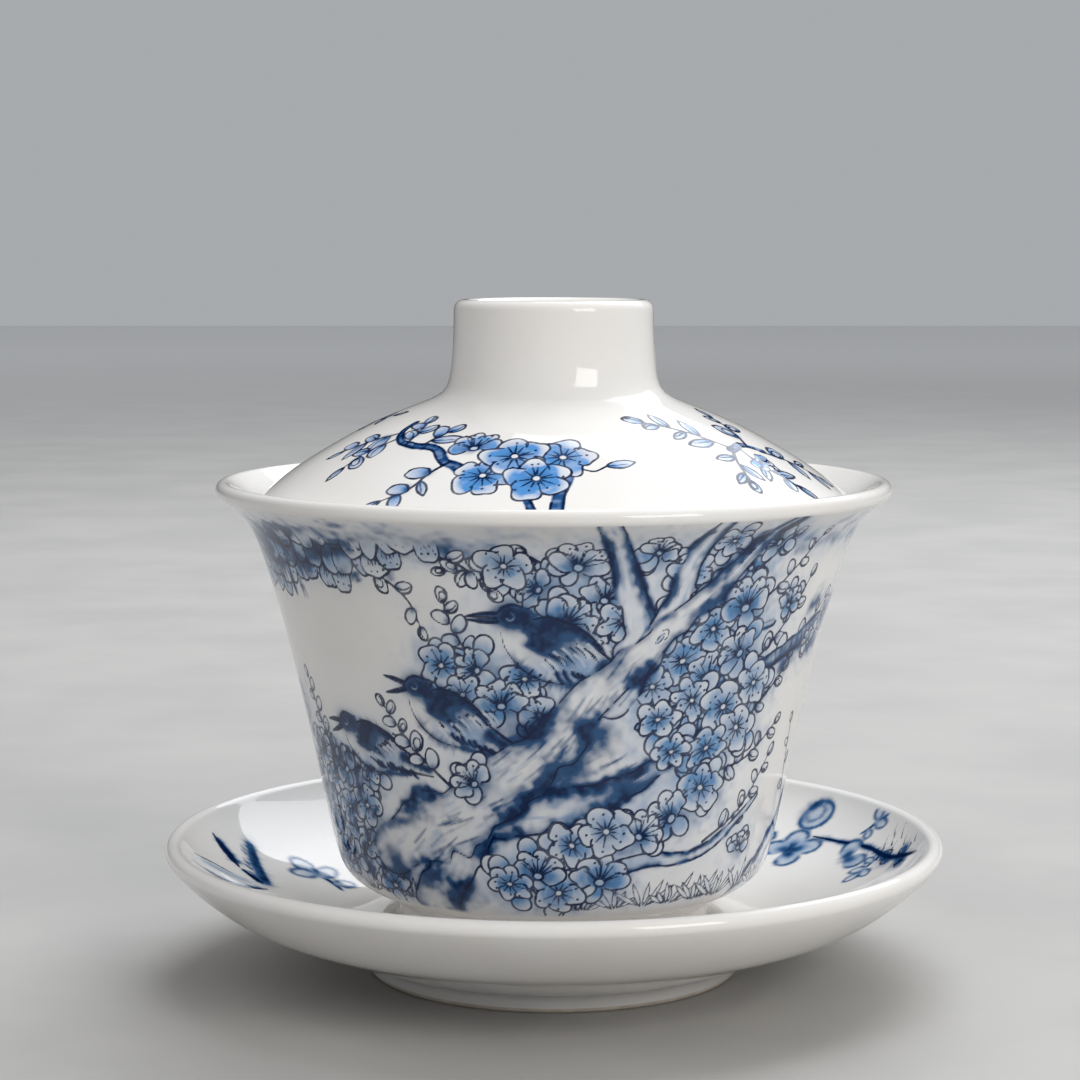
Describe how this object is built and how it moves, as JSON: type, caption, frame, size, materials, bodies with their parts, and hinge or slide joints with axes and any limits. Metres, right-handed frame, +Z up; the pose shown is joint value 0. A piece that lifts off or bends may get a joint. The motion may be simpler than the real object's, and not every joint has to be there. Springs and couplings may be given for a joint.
{
  "type": "gaiwan",
  "caption": "Lidded porcelain tea bowl with a flared mouth, hollow ring knob and upturned saucer, painted in blue under the glaze.",
  "frame": {"origin": "centre of the saucer's foot ring, on the surface that it stands on", "axes": "+Z up along the common axis of saucer, bowl and lid; -Y is the front of the painting; +X to the right seen from the front"},
  "size_m": [0.12, 0.12, 0.1037],
  "materials": {
    "porcelain": "glossy clear glaze over white porcelain with cobalt blue painting, foot rings left bare"
  },
  "bodies": {
    "saucer": {"saucer": "porcelain"},
    "bowl": {"bowl": "porcelain"},
    "lid": {"lid": "porcelain"}
  },
  "joints": [
    {"name": "bowl_lift", "type": "slide", "parent": "saucer", "child": "bowl", "axis": [0, 0, 1], "range_m": [0, 0.06]},
    {"name": "lid_lift", "type": "slide", "parent": "bowl", "child": "lid", "axis": [0, 0, 1], "range_m": [0, 0.06]}
  ]
}
